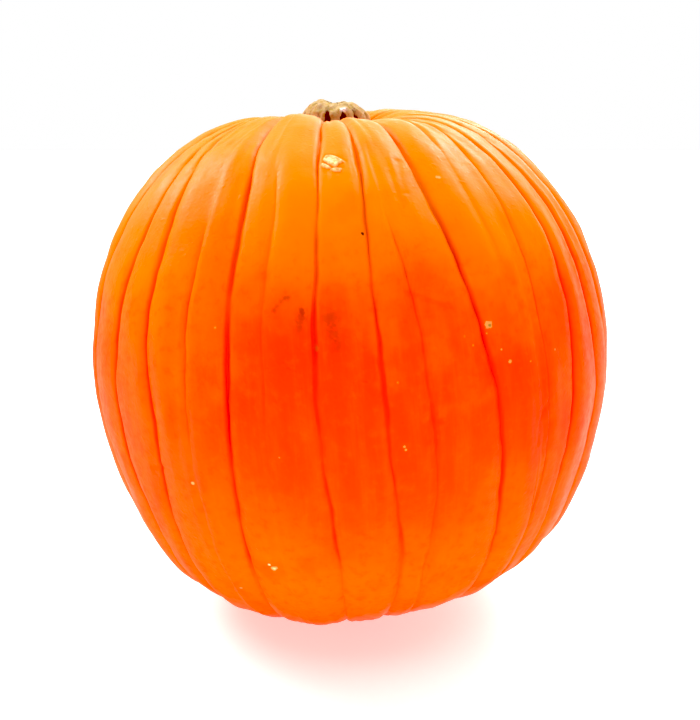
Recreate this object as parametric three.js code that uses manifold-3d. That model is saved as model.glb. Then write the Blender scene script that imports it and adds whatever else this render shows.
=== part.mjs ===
// A round orange pumpkin with shallow ribs and the corky stub of its cut stem.
// Millimetres, +Z up, front towards -Y. The origin is on the ground under the middle of the fruit.
// Directions around the fruit are azimuths in degrees: 0 is the front, 90 is the right side (+X).
// Heights on it are latitudes seen from its middle: 90 is the stem end, -90 the blossom end.

import * as THREE from 'three';
import { mergeVertices } from 'three/addons/utils/BufferGeometryUtils.js';
import Module from 'manifold-3d';

// Fruit: the distance from its middle to its skin at some latitudes.
const outline = [
  [-90, 146], [-65, 148], [-40, 153.5], [-15, 149], [10, 150.5],
  [35, 155.5], [55, 158.5], [70, 155], [90, 149.5],
];
const leanLeft = 4.6; // degrees that the stem end leans to -X
const leanForward = 3; // degrees that the stem end leans to -Y
const bow = { reach: 150, stemEnd: 2.7, blossomEnd: 10.7 }; // mm that each end is carried to -X at that reach
// The back is out of round by a wave of two and a wave of three swellings, turned by these degrees.
const backSwell = { height: 2.5, pairTurn: 50, tripleTurn: -20, tripleShare: 0.7 };

// Hollows at the two ends of the fruit.
const stemHollow = { depth: 18, width: 29, offset: 4 };
const blossomHollow = { depth: 4, width: 12, offset: 0 };
const flatDepth = 1.8; // mm pressed off the lowest point, which leaves the flat spot it rests on

// Grooves between the ribs. Each lists its azimuth at these latitudes.
const pathLatitudes = [75, 50, 25, 0, -30];
const valleyWidth = 3.2; // degrees over which a rib rounds down to its groove
const creaseWidth = 0.5; // degrees, half the width of the fine crease along it
const depths = {
  deep: { valley: 2.6, crease: 2.4 },
  main: { valley: 1.7, crease: 1.9 },
  split: { valley: 0.8, crease: 1.3 },
  faint: { valley: 0.5, crease: 0.6 },
};
const grooves = [
  { path: [-82, -71, -69, -69, -66], kind: 'main' },
  { path: [-72, -58.5, -55, -55, -52], kind: 'main' },
  { path: [-59, -43.6, -43, -42.2, -39], kind: 'deep' },
  { path: [-44, -30.5, -31.2, -30, -30], kind: 'split', top: 46 },
  { path: [-36, -22.8, -22.4, -22.6, -23.6], kind: 'deep' },
  { path: [-18, -13.3, -14.4, -14.8, -15], kind: 'faint', top: 54, bottom: 5 },
  { path: [-1.5, -3.2, -4.9, -5, -3], kind: 'main' },
  { path: [10.5, 8.4, 6.3, 6.7, 8.5], kind: 'main' },
  { path: [16, 11.2, 12.3, 14.5, 14], kind: 'split', top: 44, bottom: -50 },
  { path: [27, 23.3, 25.5, 29, 33], kind: 'deep' },
  { path: [40, 33.5, 34, 36, 38], kind: 'split', bottom: 46 },
  { path: [52, 42.5, 41, 40, 42], kind: 'split' },
  { path: [67, 58.3, 54.2, 52, 57.5], kind: 'deep' },
  { path: [78, 66.8, 64.3, 65.7, 65], kind: 'main' },
  { path: [88, 79.5, 77, 78, 77], kind: 'main' },
  { path: [97, 89, 88, 87, 86], kind: 'deep' },
  { path: [107, 99, 98, 97, 98], kind: 'split', top: 50 },
  { path: [116, 107, 108.5, 108, 107], kind: 'main' },
  { path: [125, 119, 118, 117, 118], kind: 'main' },
  { path: [134, 128, 128.5, 127.5, 128], kind: 'faint', top: 58, bottom: -10 },
  { path: [143, 137, 138.5, 139.5, 138], kind: 'deep' },
  { path: [152, 149, 148, 149, 149], kind: 'split', bottom: 38 },
  { path: [160, 159, 158, 156.5, 158], kind: 'main' },
  { path: [170, 169, 169, 167.5, 168.5], kind: 'split', top: 30 },
  { path: [179, 179, 180, 181.5, 180], kind: 'deep' },
  { path: [190, 192, 191, 190.5, 191], kind: 'main' },
  { path: [200, 202, 202, 203, 203], kind: 'faint', top: 48, bottom: -20 },
  { path: [209, 213.5, 212, 212.5, 214], kind: 'deep' },
  { path: [218, 223, 224, 225.5, 224], kind: 'main' },
  { path: [228, 234, 233.5, 234.5, 235], kind: 'split', bottom: -15 },
  { path: [237, 244, 245.5, 245, 246], kind: 'main' },
  { path: [247, 257, 256, 254.5, 256], kind: 'deep' },
  { path: [257, 267, 267.5, 266.5, 267], kind: 'split', top: 40 },
  { path: [266, 278, 279, 280.5, 280], kind: 'main' },
];
const fadeLatitude = 9; // degrees over which a groove that ends part way fades out
const stemFade = [72, 90]; // latitudes between which all grooves fade towards the stem
const blossomFade = [-52, -84]; // latitudes between which they fade towards the blossom end
const blossomDepth = 0.4; // share of its depth that a groove keeps there
const shoulder = { latitude: 66, spread: 16, gain: 0.7 }; // ribs stand out more on the shoulder

// Grid of the skin: places across one rib as shares of its width, and bands from pole to pole.
const ribSteps = [0, 0.12, 0.5, 0.88];
const ribStepsNarrow = [0, 0.5];
const narrowRib = 7; // degrees, the narrowest rib that takes all the steps
const skinBands = 36;
const poleCrowding = 0.45; // 0 spreads the bands evenly, 1 crowds them at the poles

// Stem: its radius and height above the bottom of the hollow, from foot to cut centre.
const stemOutline = [
  [26, -6], [24.5, 1], [21, 5], [19, 9], [18.4, 12.5],
  [16.8, 16], [13.8, 19], [10, 20.6], [6.8, 20], [3.4, 18.4],
];
const stemRim = { height: 9, radius: 18.6, top: 20 }; // where the wall of the stem turns into its domed top
const stemSink = 8; // mm that the raw stem reaches below the hollow before it is trimmed
const stemValleys = [-75, -36, -16, 16, 40, 75, 110, 140, 175, 210, 248]; // azimuths between its corky lobes
const stemValleyWidth = 7; // degrees
const stemValleyDepth = 0.17; // share of the radius
const stemTopDepth = 4; // mm that the valleys cut down into the top
const stemTopTilt = 2.2; // mm that the top falls from left to right
const stemSides = 66;
const touchGap = 0.3; // mm between the stem and the fruit

const fullTurn = 360;

function radians(degrees) {
  return THREE.MathUtils.degToRad(degrees);
}

// The angle between two azimuths, from 0 to 180.
function turnBetween(azimuth, other) {
  return Math.abs(THREE.MathUtils.euclideanModulo(azimuth - other + fullTurn / 2, fullTurn) - fullTurn / 2);
}

// A smooth curve through [position, value] pairs in rising order, level outside them.
function smoothTable(pairs, position) {
  const last = pairs.length - 1;
  if (position <= pairs[0][0]) return pairs[0][1];
  if (position >= pairs[last][0]) return pairs[last][1];
  const start = pairs.findIndex((pair, index) => position < pairs[index + 1][0]);
  const slope = (index) => {
    if (index === 0 || index === last) return 0;
    const [before, after] = [pairs[index - 1], pairs[index + 1]];
    return (after[1] - before[1]) / (after[0] - before[0]);
  };
  const [[x0, y0], [x1, y1]] = [pairs[start], pairs[start + 1]];
  const span = x1 - x0;
  const t = (position - x0) / span;
  const rise = t * t * (3 - 2 * t);
  const startBend = t * (1 - t) * (1 - t) * span * slope(start);
  const endBend = t * t * (1 - t) * span * slope(start + 1);
  return y0 + (y1 - y0) * rise + startBend - endBend;
}

function grooveAzimuth(groove, latitude) {
  const pairs = pathLatitudes.map((height, index) => [height, groove.path[index]]);
  return smoothTable(pairs.reverse(), latitude);
}

// How much of a groove there is at a latitude: 0 past its ends, 1 along its length.
function grooveStrength(groove, latitude) {
  const { top = fullTurn, bottom = -fullTurn } = groove;
  const above = THREE.MathUtils.smoothstep(top - latitude, 0, fadeLatitude);
  const below = THREE.MathUtils.smoothstep(latitude - bottom, 0, fadeLatitude);
  return above * below;
}

// Share of their depth that all grooves have at a latitude.
function ribbing(latitude) {
  const stemShare = 1 - THREE.MathUtils.smoothstep(latitude, stemFade[0], stemFade[1]);
  const blossomShare = THREE.MathUtils.smoothstep(-latitude, -blossomFade[0], -blossomFade[1]);
  const raised = shoulder.gain * Math.exp(-(((latitude - shoulder.latitude) / shoulder.spread) ** 2));
  return (stemShare + raised) * (1 - (1 - blossomDepth) * blossomShare);
}

// Depth of the grooves below the rib bellies, in mm.
function relief(latitude, azimuth) {
  let depth = 0;
  for (const groove of grooves) {
    const away = turnBetween(azimuth, grooveAzimuth(groove, latitude));
    const { valley, crease } = depths[groove.kind];
    const cut = valley * Math.exp(-away / valleyWidth) + crease * Math.exp(-away / creaseWidth);
    depth += cut * grooveStrength(groove, latitude);
  }
  return depth * ribbing(latitude);
}

// How far the skin swells out of round, in mm: nothing at the front, most at the back.
function swell(latitude, azimuth) {
  const back = (1 - Math.cos(radians(azimuth))) / 2;
  const pair = Math.cos(radians(2 * azimuth + backSwell.pairTurn));
  const triple = Math.sin(radians(3 * azimuth + latitude + backSwell.tripleTurn));
  const wave = pair + backSwell.tripleShare * triple;
  return backSwell.height * back * back * wave * Math.cos(radians(latitude));
}

function hollow({ depth, width, offset }, x, y) {
  return depth * Math.exp(-(((x - offset) ** 2 + y * y) / (width * width)));
}

// A point of the upright fruit's skin.
function skinPoint(latitude, azimuth) {
  const distance = smoothTable(outline, latitude) + swell(latitude, azimuth) - relief(latitude, azimuth);
  const reach = distance * Math.cos(radians(latitude));
  const x = reach * Math.sin(radians(azimuth));
  const y = -reach * Math.cos(radians(azimuth));
  const height = distance * Math.sin(radians(latitude));
  const carried = (latitude > 0 ? bow.stemEnd : bow.blossomEnd) * (height / bow.reach) ** 2;
  const ends = latitude > 0 ? -hollow(stemHollow, x, y) : hollow(blossomHollow, x, y);
  return new THREE.Vector3(x - carried, y, height + ends);
}

function lean(geometry) {
  geometry.rotateX(radians(leanForward));
  geometry.rotateY(radians(-leanLeft));
  return geometry;
}

// Azimuths of the grid's columns at a latitude: they follow the grooves, so each crease is an edge.
function columnAzimuths(latitude) {
  return grooves.flatMap((groove, index) => {
    const next = grooves[(index + 1) % grooves.length];
    const wrap = index + 1 < grooves.length ? 0 : fullTurn;
    const steps = next.path[3] + wrap - groove.path[3] < narrowRib ? ribStepsNarrow : ribSteps;
    const start = grooveAzimuth(groove, latitude);
    const width = grooveAzimuth(next, latitude) + wrap - start;
    return steps.map((share) => start + share * width);
  });
}

// A closed skin from rings of points between two end points, listed from the top down.
function closedSkin(top, rings, bottom) {
  const sides = rings[0].length;
  const points = [top, ...rings.flat(), bottom];
  const faces = [];
  const at = (ring, side) => 1 + ring * sides + (side % sides);
  for (let side = 0; side < sides; side += 1) {
    faces.push(0, at(0, side), at(0, side + 1));
    for (let ring = 0; ring + 1 < rings.length; ring += 1) {
      faces.push(at(ring, side), at(ring + 1, side), at(ring + 1, side + 1));
      faces.push(at(ring, side), at(ring + 1, side + 1), at(ring, side + 1));
    }
    faces.push(at(rings.length - 1, side), points.length - 1, at(rings.length - 1, side + 1));
  }
  const geometry = new THREE.BufferGeometry();
  geometry.setAttribute('position', new THREE.Float32BufferAttribute(points.flatMap((p) => p.toArray()), 3));
  geometry.setIndex(faces);
  return geometry;
}

function bandLatitude(band) {
  const share = 1 - (2 * band) / skinBands;
  return 90 * ((1 - poleCrowding) * share + poleCrowding * Math.sin((Math.PI / 2) * share));
}

function fruitGeometry() {
  const rings = [];
  for (let band = 1; band < skinBands; band += 1) {
    const latitude = bandLatitude(band);
    rings.push(columnAzimuths(latitude).map((azimuth) => skinPoint(latitude, azimuth)));
  }
  return lean(closedSkin(skinPoint(90, 0), rings, skinPoint(-90, 0)));
}

// Presses the lowest skin flat and stands the fruit on the ground, centred over the origin.
function standOnGround(geometry) {
  geometry.computeBoundingBox();
  const { min, max } = geometry.boundingBox;
  const ground = min.z + flatDepth;
  const position = geometry.getAttribute('position');
  for (let index = 0; index < position.count; index += 1) {
    position.setZ(index, Math.max(position.getZ(index), ground));
  }
  const shift = new THREE.Vector3(-(min.x + max.x) / 2, -(min.y + max.y) / 2, -ground);
  geometry.translate(shift.x, shift.y, shift.z);
  return shift;
}

// The valleys between the stem's lobes, 1 along each and 0 on the lobes.
function stemValley(azimuth) {
  const away = Math.min(...stemValleys.map((valley) => turnBetween(azimuth, valley)));
  return Math.exp(-away / stemValleyWidth);
}

function stemPoint([radius, height], azimuth) {
  const valley = stemValley(azimuth);
  const reach = radius * (1 - stemValleyDepth * valley);
  const onTop = THREE.MathUtils.smoothstep(height, stemRim.height, stemRim.top);
  const side = Math.sin(radians(azimuth)) * (radius / stemRim.radius);
  const z = height - onTop * (stemTopDepth * valley * (radius / stemRim.radius) + stemTopTilt * side);
  return new THREE.Vector3(reach * Math.sin(radians(azimuth)), -reach * Math.cos(radians(azimuth)), z);
}

// The stem stands upright in the hollow of the leaning fruit, before it is trimmed to it.
function rawStem(foot) {
  const rings = [...stemOutline].reverse().map((level) => {
    const azimuths = Array.from({ length: stemSides }, (_, side) => (side * fullTurn) / stemSides);
    return azimuths.map((azimuth) => stemPoint(level, azimuth));
  });
  const centre = new THREE.Vector3(0, 0, stemOutline.at(-1)[1] - 1);
  const base = new THREE.Vector3(0, 0, -stemSink);
  return closedSkin(centre, rings, base).translate(foot.x, foot.y, foot.z);
}

const wasm = await Module();
wasm.setup();

function toSolid(geometry) {
  const merged = mergeVertices(geometry);
  const mesh = new wasm.Mesh({
    numProp: 3,
    vertProperties: new Float32Array(merged.getAttribute('position').array),
    triVerts: new Uint32Array(merged.getIndex().array),
  });
  return new wasm.Manifold(mesh);
}

function toGeometry(solid) {
  const { vertProperties, triVerts } = solid.getMesh();
  const geometry = new THREE.BufferGeometry();
  geometry.setAttribute('position', new THREE.BufferAttribute(vertProperties, 3));
  geometry.setIndex(new THREE.BufferAttribute(triVerts, 1));
  return geometry;
}

function namedMesh(name, geometry, color, roughness) {
  const material = new THREE.MeshStandardMaterial({ color, roughness, metalness: 0 });
  const mesh = new THREE.Mesh(geometry, material);
  mesh.name = name;
  return mesh;
}

const fruit = fruitGeometry();
const shift = standOnGround(fruit);

// The stem's foot is at the bottom of the hollow, wherever the lean has carried it.
const hollowFloor = lean(new THREE.BufferGeometry().setFromPoints([
  new THREE.Vector3(stemHollow.offset - bow.stemEnd, 0, smoothTable(outline, 90) - stemHollow.depth),
]));
const foot = new THREE.Vector3().fromBufferAttribute(hollowFloor.getAttribute('position'), 0).add(shift);
const liftedFruit = toSolid(fruit.clone().translate(0, 0, touchGap));
const stem = toGeometry(toSolid(rawStem(foot)).subtract(liftedFruit));

const pumpkin = new THREE.Group();
pumpkin.add(namedMesh('fruit', fruit, 0xf2650a, 0.35));
pumpkin.add(namedMesh('stem', stem, 0xb89a6e, 0.85));

export default pumpkin;
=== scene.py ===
import math
import random

import bpy
import numpy as np
from mathutils import Matrix, Vector


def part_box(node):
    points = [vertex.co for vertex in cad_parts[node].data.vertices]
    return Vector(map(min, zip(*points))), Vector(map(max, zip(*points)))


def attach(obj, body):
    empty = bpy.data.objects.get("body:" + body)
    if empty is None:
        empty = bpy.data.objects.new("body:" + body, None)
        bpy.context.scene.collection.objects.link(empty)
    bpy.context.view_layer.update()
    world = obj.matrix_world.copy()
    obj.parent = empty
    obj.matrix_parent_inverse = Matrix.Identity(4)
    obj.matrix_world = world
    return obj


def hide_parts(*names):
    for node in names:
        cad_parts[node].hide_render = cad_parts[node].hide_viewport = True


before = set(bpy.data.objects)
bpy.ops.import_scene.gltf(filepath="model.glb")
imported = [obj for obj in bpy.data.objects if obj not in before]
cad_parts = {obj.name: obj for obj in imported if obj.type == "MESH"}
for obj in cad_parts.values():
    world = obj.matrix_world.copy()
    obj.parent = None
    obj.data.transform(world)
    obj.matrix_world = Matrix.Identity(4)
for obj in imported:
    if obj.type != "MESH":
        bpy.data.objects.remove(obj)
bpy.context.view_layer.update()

mm = 0.001
fullTurn = 360
farAway = 1000.0  # millimetres, further than any two places on the fruit
noiseSpan = (0.3, 0.7)  # most values of a noise lie in here

# The fruit. Lengths are in millimetres, latitudes and azimuths in degrees as seen from its middle:
# latitude 90 is the stem end, azimuth 0 the front (-Y) and 90 the right side (+X).
fruit = {
    # distance from the middle to the skin at some latitudes
    "outline": [(-90, 146), (-65, 148), (-40, 153.5), (-15, 149), (10, 150.5),
                (35, 155.5), (55, 158.5), (70, 155), (90, 149.5)],
    "leanLeft": 4.6,
    "leanForward": 3,
    "bowReach": 150,  # how far each end is carried to -X at this distance from the middle
    "bowStemEnd": 2.7,
    "bowBlossomEnd": 10.7,
    # the back is out of round by a wave of two and a wave of three swellings, turned by these degrees
    "backSwell": {"height": 2.5, "pairTurn": 50, "tripleTurn": -20, "tripleShare": 0.7},
    "stemHollow": {"depth": 18, "width": 29, "offset": 4},
    "blossomHollow": {"depth": 4, "width": 12, "offset": 0},
    # broad hollows (+) and swellings (-): latitude, azimuth, reach of each and depth
    "hollows": [
        (74, 38, 9, 30, 3.6),
        (72, 90, 14, 45, 2.2),
        (76, 2.8, 7, 5, 2.6),
        (74, -24, 6, 9, -1.6),
        (36, 80, 16, 30, -2.2),
        (-36, 58, 13, 26, -3.0),
    ],
    "flatDepth": 1.8,  # pressed off the lowest point, which leaves the spot it rests on
    "rows": 212,
    "columnsPerRib": 12,
    "poleCrowding": 0.2,  # 0 spreads the rows evenly, 1 crowds them at the two ends
    "grooveCrowding": 0.75,  # the same for the columns, at the grooves
}

# How the grooves between the ribs look.
grooveLook = {
    "latitudes": (75, 50, 25, 0, -30),  # where the paths below give each groove's azimuth
    "valleyWidth": 3.2,  # degrees over which a rib rounds down to its groove
    "creaseWidth": 0.4,  # degrees, half the width of the fine crease along it
    # depth of the valley and of the crease in it
    "depths": {"deep": (2.9, 1.2), "main": (2.2, 1.1), "split": (1.0, 0.8), "faint": (0.5, 0.5)},
    "fade": 9,  # degrees over which a groove that ends part way fades out
    "stemFade": (72, 90),  # latitudes between which all grooves fade towards the stem
    "blossomFade": (52, 84),  # degrees below the middle between which they fade towards the blossom end
    "blossomDepth": 0.4,  # share of its depth that a groove keeps there
    "shoulder": {"latitude": 66, "spread": 16, "gain": 0.45},  # ribs stand out more on the shoulder
    "aboveFade": (25, 50),  # latitudes between which a groove with "above" grows shallower
    "creaseFade": (15, 80),  # the fine crease dies away sooner towards the blossom end
    "creaseTop": {"from": 42, "to": 68, "share": 0.7},  # and is finer towards the stem
    "wander": 0.28,  # degrees that a groove strays from its smooth path
    "wanderWaves": (38, 14, 6),  # degrees of latitude from one bend to the next
    "patchiness": 0.28,  # how much a crease deepens and fades along its length
    # millimetres to each side that the groove's red reaches, partly the rind's own colour and partly painted
    # shade in the crease
    "tintAndShadeWidth": {"deep": 1.8, "main": 1.0, "split": 0.8, "faint": 0.7},
    "tintAndShadeTop": {"from": 40, "to": 60, "share": 0.85},  # the red pales towards the stem
    "tintAndShadeFoot": {"from": 5, "to": 35, "share": 0.25},  # and towards the blossom end
    "lip": {"height": 0.28, "away": 2.2, "width": 1.0},  # millimetres, low ridges beside a crease
}

# The path of each groove, its kind and the latitudes where it ends. One with "above" keeps only that
# share of its valley near the stem.
grooves = [
    {"path": (-78, -67, -69, -67, -65), "kind": "deep"},
    {"path": (-62, -50.5, -53, -53.5, -51), "kind": "deep", "above": 0.5},
    {"path": (-51, -42.3, -41.5, -40.3, -41.8), "kind": "deep", "above": 0.3},
    {"path": (-36, -30, -30.6, -30.4, -30), "kind": "split", "top": 46, "bottom": -2},
    {"path": (-29, -21.6, -21.8, -22.4, -23.6), "kind": "deep"},
    {"path": (-18, -13.3, -14.4, -14.8, -15), "kind": "faint", "top": 54, "bottom": 5},
    {"path": (-1.5, -2.6, -4.8, -5.4, -3.6), "kind": "main"},
    {"path": (10.5, 8.4, 6.3, 6.7, 8.5), "kind": "main"},
    {"path": (16, 12, 13.6, 14.8, 14), "kind": "split", "top": 44, "bottom": -50},
    {"path": (27, 23.3, 25.5, 28.2, 29.6), "kind": "deep"},
    {"path": (42, 34, 34, 36, 38), "kind": "split", "bottom": 50},
    {"path": (50, 42.5, 40, 39.6, 38.6), "kind": "split"},
    {"path": (56, 51.2, 51.2, 47.6, 46), "kind": "deep", "above": 0.3},
    {"path": (70, 61, 60, 59.4, 58), "kind": "deep", "above": 0.4},
    {"path": (82, 71, 69, 69, 68), "kind": "deep", "above": 0.5},
    {"path": (92, 82, 80, 80, 79), "kind": "deep"},
    {"path": (103, 93, 91, 91, 92), "kind": "split", "top": 50},
    {"path": (114, 104, 104.5, 105, 104), "kind": "main"},
    {"path": (125, 119, 118, 117, 118), "kind": "main"},
    {"path": (134, 128, 128.5, 127.5, 128), "kind": "faint", "top": 58, "bottom": -10},
    {"path": (143, 137, 138.5, 139.5, 138), "kind": "deep"},
    {"path": (152, 149, 148, 149, 149), "kind": "split", "bottom": 38},
    {"path": (160, 159, 158, 156.5, 158), "kind": "main"},
    {"path": (170, 169, 169, 167.5, 168.5), "kind": "split", "top": 30},
    {"path": (179, 179, 180, 181.5, 180), "kind": "deep"},
    {"path": (190, 192, 191, 190.5, 191), "kind": "main"},
    {"path": (200, 202, 202, 203, 203), "kind": "faint", "top": 48, "bottom": -20},
    {"path": (209, 213.5, 212, 212.5, 214), "kind": "deep"},
    {"path": (218, 223, 224, 225.5, 224), "kind": "main"},
    {"path": (228, 234, 233.5, 234.5, 235), "kind": "split", "bottom": -15},
    {"path": (237, 244, 245.5, 245, 246), "kind": "main"},
    {"path": (247, 257, 256, 254.5, 256), "kind": "deep"},
    {"path": (257, 267, 267.5, 266.5, 267), "kind": "split", "top": 40},
    {"path": (266, 278, 279, 280.5, 280), "kind": "main"},
]

# Short creases beside the grooves, each drawn through a few (latitude, azimuth) points. In millimetres.
sideCreases = {
    "width": 1.7,
    "depth": 0.6,
    "tintAndShade": 0.3,  # share of the grooves' red and painted shade that they show
    "lines": [
        [(67, -43), (61, -40.5), (58, -42)],
        [(52, 19.8), (48, 18), (45, 17.8)],
        [(27.8, 12.6), (26.8, 15.2), (25.4, 17.8), (24.4, 20.8)],
        [(3.2, 39.2), (0.2, 36.8), (-4, 36.2)],
        [(6.2, 14.8), (5.4, 15.8)],
        [(6.2, 14.8), (5.2, 13.2), (2.4, 13.2)],
        [(-4.8, -42.6), (-3.8, -36.8)],
    ],
    "fineReach": 6,  # how far round them the mesh is finer
    "fineFrom": 0.25,
    "fineCuts": 3,
}

# Uneven growth on top of the plain form, in millimetres.
growth = {
    "ribSwell": 0.7,  # each rib's belly stands this much more or less proud
    "ribTilt": 0.6,
    "strandHeight": 0.07,  # low strands that run along the ribs
    "strandWaves": (34, 150),  # fewest and most of them round the fruit
    "strandCount": 14,
    "strandBend": 2,  # radians that a strand bends to each side
    "strandSways": (1, 4),
    "lumps": [(52, 3.0), (20, 0.8), (6, 0.22)],  # size and height of the uneven patches
    "seed": 11,
}

# Where something tore the rind: pale dry flaps. Outlines in millimetres, right and up from "at".
scar = {
    "at": (53.4, 1.8),
    "flaps": [
        [(-4.3, 2.2), (-3.2, 4.3), (-1.6, 4.2), (2.1, 2.6), (5.2, -0.9),
         (2.4, -1.6), (0.6, -3.7), (-1.3, -2.1), (-3.9, 1.0)],
        [(-5.5, -0.8), (-4.4, -0.6), (-2.6, -1.7), (-1.1, -4.1), (-2.8, -3.8), (-4.3, -2.8)],
        [(-1.6, -4.9), (0.8, -4.6), (3.2, -4.9), (2.2, -6.6), (-0.6, -6.2)],
    ],
    "rise": 0.9,
    "risesOver": (-0.1, 0.5),  # how far inside a flap's edge it rises, dishes and pales
    "dish": 0.5,
    "dishesOver": (0.6, 1.6),
    "palesOver": (-0.25, 0.25),
    "trough": {"depth": 0.3, "width": 0.9},  # sunken skin round the flaps
    "fineReach": 10,  # how far round its middle the mesh is finer
    "fineCuts": 4,
}

stem = {
    # radius and height above the bottom of the hollow, from the foot to the cut centre
    "outline": [(28, -6), (26.5, 1), (23, 5), (21, 9), (20.2, 12.5),
                (18.4, 16), (15, 19), (11, 20.6), (7.4, 20.2), (3.6, 19)],
    "rim": {"height": 9, "radius": 20.4, "top": 20},
    # azimuth and strength of the clefts between its lobes
    "valleys": [(-72, 0.7), (-46, 0.5), (-27, 0.5), (-12, 0.9), (14.5, 1.1), (39, 1), (70, 0.6), (105, 0.9),
                (140, 0.6), (172, 1), (208, 0.7), (246, 0.9)],
    "valleyWidth": 3.8,  # degrees
    "valleyDepth": 0.09,  # share of the radius
    "topDepth": 1.2,  # millimetres that the clefts cut down into the top
    "topWallLoss": 0.6,  # shares of the clefts' depth and of their painted shade that are lost on the top
    "topShadeLoss": 0.7,
    "sides": 88,
    # knobs and dips of the cut top: right, back, rise and reach in millimetres
    "humps": [(-6, 1, 2.4, 6.5), (5, 1, 1.4, 5.5), (1, -1, -1.2, 2.4), (0, -15, -1.6, 5), (15, -3, -0.6, 6)],
    # uneven growth in three sizes; the form stands out above the middle and sinks in below it
    "knuckles": {"size": 7, "height": 3.0, "middle": 0.45},
    "cork": {"size": 3, "height": 0.7, "middle": 0.3},
    "grain": {"size": 1.2, "height": 0.3, "middle": 0.5},
    "dentDepths": (-0.3, 1),  # millimetres sunk in between which the painted shade of the dents comes in
}


def smoothTable(pairs, position):
    # a smooth curve through (position, value) pairs in rising order, level outside them
    xs, ys = np.array(pairs, float).T
    slopes = np.zeros(len(xs))
    slopes[1:-1] = (ys[2:] - ys[:-2]) / (xs[2:] - xs[:-2])
    position = np.clip(position, xs[0], xs[-1])
    start = np.clip(np.searchsorted(xs, position, side="right") - 1, 0, len(xs) - 2)
    span = xs[start + 1] - xs[start]
    t = (position - xs[start]) / span
    rise = t * t * (3 - 2 * t)
    startBend = t * (1 - t) ** 2 * span * slopes[start]
    endBend = t * t * (1 - t) * span * slopes[start + 1]
    return ys[start] + (ys[start + 1] - ys[start]) * rise + startBend - endBend


def smoothStep(value, low, high):
    t = np.clip((value - low) / (high - low), 0, 1)
    return t * t * (3 - 2 * t)


def lossOver(fade, position):
    # how much is lost along a fade that leaves a share at its end
    return (1 - fade["share"]) * smoothStep(position, fade["from"], fade["to"])


def turnBetween(azimuth, other):
    return np.abs((azimuth - other + fullTurn / 2) % fullTurn - fullTurn / 2)


def strayOf(draw, latitude):
    # an uneven bend in longer and shorter waves, about -1 to 1
    stray = np.zeros(np.shape(latitude))
    longest = grooveLook["wanderWaves"][0]
    for wave in grooveLook["wanderWaves"]:
        size = draw.uniform(0.3, 1) * (wave / longest) ** 0.7
        stray = stray + size * np.sin(2 * np.pi * (latitude / wave + draw.random()))
    return stray


def grooveAzimuth(index, latitude):
    pairs = list(zip(grooveLook["latitudes"], grooves[index]["path"]))[::-1]
    draw = random.Random(growth["seed"] * 100 + index)
    return smoothTable(pairs, latitude) + grooveLook["wander"] * strayOf(draw, latitude)


def grooveStrength(groove, latitude):
    fade = grooveLook["fade"]
    above = smoothStep(groove.get("top", fullTurn) - latitude, 0, fade)
    below = smoothStep(latitude - groove.get("bottom", -fullTurn), 0, fade)
    return above * below


def ribbing(latitude):
    shoulder = grooveLook["shoulder"]
    stemShare = 1 - smoothStep(latitude, *grooveLook["stemFade"])
    blossomShare = smoothStep(-latitude, *grooveLook["blossomFade"])
    raised = shoulder["gain"] * np.exp(-((latitude - shoulder["latitude"]) / shoulder["spread"]) ** 2)
    return (stemShare + raised) * (1 - (1 - grooveLook["blossomDepth"]) * blossomShare)


def skinLength(degrees):
    return fruit["bowReach"] * np.radians(degrees)


def sideCreaseMask(latitude, azimuth, width):
    # 1 on the short creases, falling to 0 over the width
    nearest = np.full(np.shape(latitude), farAway)
    for line in sideCreases["lines"]:
        for (lat1, az1), (lat2, az2) in zip(line, line[1:]):
            shrink = np.cos(np.radians(lat1))
            along = skinLength(np.array([(az2 - az1) * shrink, lat2 - lat1]))
            turn = (azimuth - az1 + fullTurn / 2) % fullTurn - fullTurn / 2
            away = skinLength(np.stack([turn * shrink, latitude - lat1], -1))
            share = np.clip(away @ along / (along @ along), 0, 1)
            nearest = np.minimum(nearest, np.linalg.norm(away - share[..., None] * along, axis=-1))
    return np.exp(-(nearest / width) ** 2)


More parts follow.
